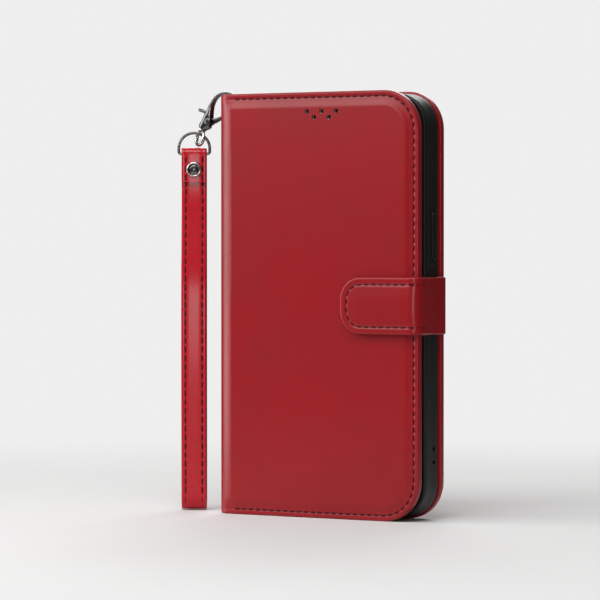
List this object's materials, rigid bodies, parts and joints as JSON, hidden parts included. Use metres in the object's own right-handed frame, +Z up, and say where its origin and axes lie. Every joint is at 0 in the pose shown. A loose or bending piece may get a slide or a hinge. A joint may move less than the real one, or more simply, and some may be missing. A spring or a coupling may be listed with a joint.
{
  "type": "phone wallet case",
  "caption": "Book-style phone wallet case with a stiffened cover, soft phone shell, card pockets, magnetic tab and a wrist strap on a swivel clasp.",
  "frame": {"origin": "middle of the back cover's thickness on its lower edge, halfway between the spine and the fore edge of the closed case", "axes": "+X from the spine to the fore edge, -Y is the front of the closed case, +Z is up the case's height"},
  "size_m": [0.1192, 0.0249, 0.1697],
  "materials": {
    "cover_leather": "smooth satin coated leather",
    "tab_leather": "smooth satin coated leather",
    "strap_leather": "satin coated leather",
    "lining": "matt embossed lining",
    "pocket_leather": "satin coated leather",
    "board": "pressed greyboard",
    "foam": "thin padding sheet",
    "thread": "twisted polyester thread",
    "shell_tpu": "satin moulded",
    "dark_nickel": "polished dark nickel plating",
    "steel": "plain"
  },
  "bodies": {
    "root": {"back_leather": "cover_leather", "back_foam": "foam", "back_board": "board", "back_lining": "lining", "back_thread": "thread", "tab_anchor": "tab_leather", "phone_shell": "shell_tpu"},
    "power_button": {"power_button": "shell_tpu"},
    "volume_up": {"volume_up_button": "shell_tpu"},
    "volume_down": {"volume_down_button": "shell_tpu"},
    "spine": {"spine_leather": "cover_leather", "spine_lining": "lining", "strap_loop": "cover_leather"},
    "front_cover": {"front_leather": "cover_leather", "front_foam": "foam", "front_board": "board", "front_magnet": "steel", "front_lining": "lining", "front_thread": "thread", "cash_pocket": "pocket_leather", "card_pocket_1": "pocket_leather", "card_pocket_2": "pocket_leather", "card_pocket_3": "pocket_leather"},
    "tab_web": {"tab_web_leather": "tab_leather", "tab_web_lining": "lining"},
    "tab_flap": {"tab_flap_leather": "tab_leather", "tab_flap_lining": "lining", "tab_stiffener": "board", "tab_magnet": "steel"},
    "clasp": {"clasp_body": "dark_nickel", "clasp_pin": "dark_nickel", "gate_spring": "steel"},
    "gate": {"gate_lever": "dark_nickel"},
    "swivel": {"swivel_rivet": "dark_nickel", "swivel_eye": "dark_nickel"},
    "ring": {"d_ring": "dark_nickel"},
    "strap": {"strap_band": "strap_leather", "rivet_cap": "dark_nickel", "rivet_post": "dark_nickel"}
  },
  "joints": [
    {"name": "spine_fold", "type": "hinge", "parent": "root", "child": "spine", "pos_m": [-0.04405, -0.0021, 0.084], "axis": [0, 0, -1], "range_deg": [0, 90], "deforming": ["tab_flap_leather", "tab_flap_lining", "tab_stiffener", "tab_magnet"]},
    {"name": "cover_fold", "type": "hinge", "parent": "spine", "child": "front_cover", "pos_m": [-0.04405, -0.0162, 0.084], "axis": [0, 0, -1], "range_deg": [0, 90], "deforming": ["tab_flap_leather", "tab_flap_lining", "tab_stiffener", "tab_magnet"]},
    {"name": "tab_fold", "type": "hinge", "parent": "root", "child": "tab_web", "pos_m": [0.0462, -0.0008, 0.084], "axis": [0, 0, 1], "range_deg": [0, 90]},
    {"name": "flap_fold", "type": "hinge", "parent": "tab_web", "child": "tab_flap", "pos_m": [0.0462, -0.0205, 0.084], "axis": [0, 0, 1], "range_deg": [0, 90]},
    {"name": "power_press", "type": "slide", "parent": "root", "child": "power_button", "axis": [-1, 0, 0], "range_m": [0, 0.0004], "stiffness_N_per_m": 800},
    {"name": "volume_up_press", "type": "slide", "parent": "root", "child": "volume_up", "axis": [1, 0, 0], "range_m": [0, 0.0004], "stiffness_N_per_m": 800},
    {"name": "volume_down_press", "type": "slide", "parent": "root", "child": "volume_down", "axis": [1, 0, 0], "range_m": [0, 0.0004], "stiffness_N_per_m": 800},
    {"name": "clasp_swing", "type": "hinge", "parent": "spine", "child": "clasp", "pos_m": [-0.05095, -0.0067, 0.167], "axis": [0, 1, 0], "range_deg": [0, 30]},
    {"name": "gate_swing", "type": "hinge", "parent": "clasp", "child": "gate", "pos_m": [-0.05855, -0.0067, 0.1577], "axis": [0, -1, 0], "range_deg": [0, 12], "stiffness_Nm_per_rad": 0.01},
    {"name": "swivel_spin", "type": "hinge", "parent": "clasp", "child": "swivel", "pos_m": [-0.06205, -0.0067, 0.1548], "axis": [0.342, 0, 0.9397], "continuous": true},
    {"name": "ring_swing", "type": "hinge", "parent": "swivel", "child": "ring", "pos_m": [-0.06287, -0.0067, 0.15254], "axis": [-0.5195, 0.8545, 0], "range_deg": [-4, 16]},
    {"name": "strap_swing", "type": "hinge", "parent": "ring", "child": "strap", "pos_m": [-0.06526, -0.00816, 0.14475], "axis": [0.8545, 0.5195, 0], "range_deg": [-25, 25]}
  ]
}
